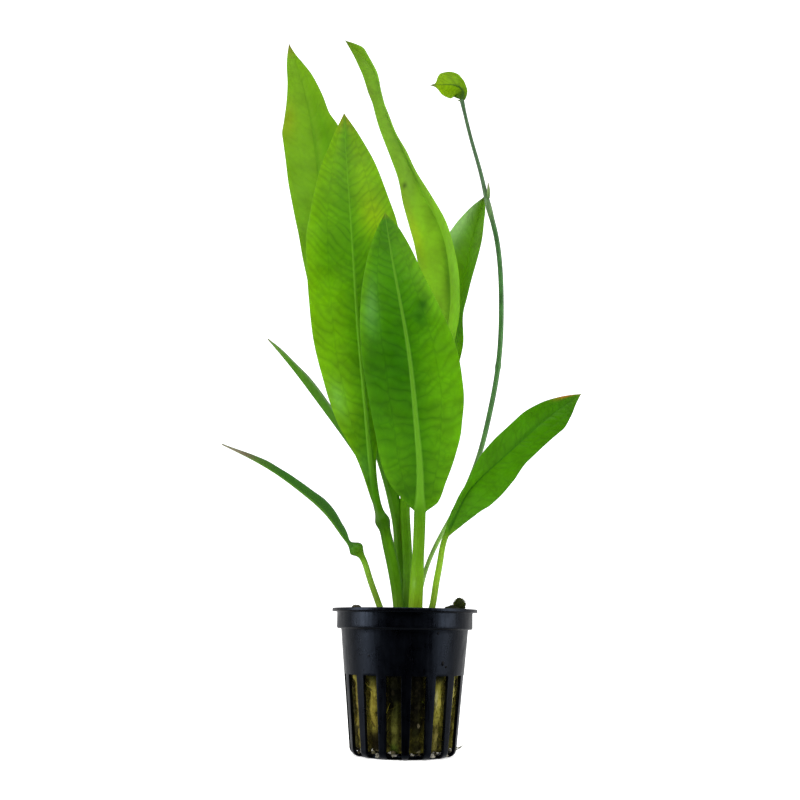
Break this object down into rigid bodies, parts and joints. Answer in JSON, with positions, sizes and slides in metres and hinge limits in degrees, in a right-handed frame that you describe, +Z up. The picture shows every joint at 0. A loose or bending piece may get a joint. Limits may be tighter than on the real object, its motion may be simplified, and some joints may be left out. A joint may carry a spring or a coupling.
{
  "type": "potted amazon sword plant",
  "caption": "Broad-leaved aquarium plant: a rosette of long pointed leaves and an arching flower stalk in a slotted black net pot filled with rock wool.",
  "frame": {"origin": "centre of the pot's base, on the surface that the pot stands on", "axes": "+Z up along the pot's axis; -Y is the front, the side of the plant that the picture shows; +X is to the right as seen from the front, the side of the low leaf that reaches out and of the flower stalk"},
  "size_m": [0.1285, 0.0532, 0.2831],
  "materials": {
    "black_plastic": "satin",
    "rock_wool": "matte",
    "crown": "matte",
    "leaf_pale_green": "satin",
    "leaf_mid_green": "satin",
    "leaf_deep_green": "satin",
    "leaf_young_green": "satin",
    "flower_stalk": "satin"
  },
  "bodies": {
    "root": {"net_pot": "black_plastic", "rock_wool": "rock_wool", "crown": "crown", "leaf_tall_left": "leaf_pale_green", "leaf_twisted": "leaf_pale_green", "leaf_broad_left": "leaf_mid_green", "leaf_front": "leaf_mid_green", "leaf_back_right": "leaf_mid_green", "leaf_low_right": "leaf_deep_green", "leaf_low_left": "leaf_deep_green", "leaf_upper_left": "leaf_deep_green", "flower_stalk": "flower_stalk", "stalk_leaf": "leaf_young_green", "stalk_bract": "flower_stalk"}
  },
  "joints": []
}
